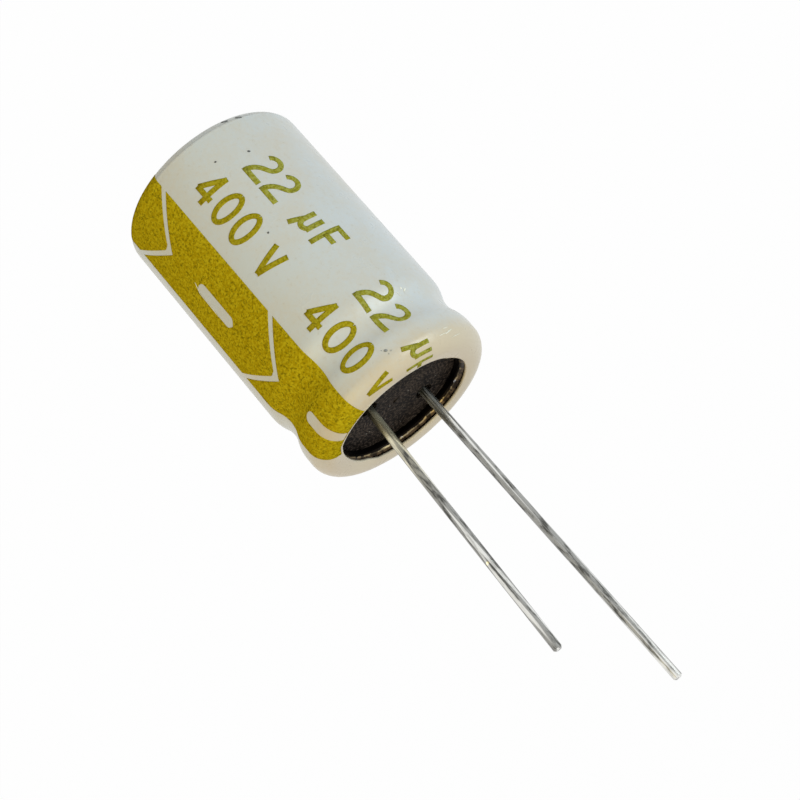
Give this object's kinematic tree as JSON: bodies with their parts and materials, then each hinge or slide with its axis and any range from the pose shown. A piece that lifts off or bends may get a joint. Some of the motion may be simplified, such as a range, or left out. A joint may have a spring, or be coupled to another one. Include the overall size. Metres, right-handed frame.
{
  "type": "electrolytic capacitor",
  "caption": "Radial aluminium electrolytic capacitor: beaded round can in a shrunk film sleeve, rubber bung, and two wire leads of unequal length.",
  "frame": {"origin": "centre of the closed vent end, in the plane that the part stands on", "axes": "+Z along the capacitor's axis, from the closed end to the leads; +X from the negative lead towards the positive lead"},
  "size_m": [0.013, 0.013, 0.043],
  "materials": {
    "sleeve_film": "semi-gloss pale grey-cream film",
    "can_aluminium": "drawn, satin",
    "bung_rubber": "matte black",
    "tinned_wire": "bright tinned copper-clad steel",
    "tab_aluminium": "plain aluminium",
    "roll_paper": "kraft paper soaked with electrolyte",
    "tape_film": "clear yellowish tape"
  },
  "bodies": {
    "root": {"sleeve": "sleeve_film", "can": "can_aluminium", "bung": "bung_rubber", "lead_positive": "tinned_wire", "lead_negative": "tinned_wire", "anode_tab": "tab_aluminium", "cathode_tab": "tab_aluminium", "winding": "roll_paper", "winding_tape": "tape_film"}
  },
  "joints": []
}
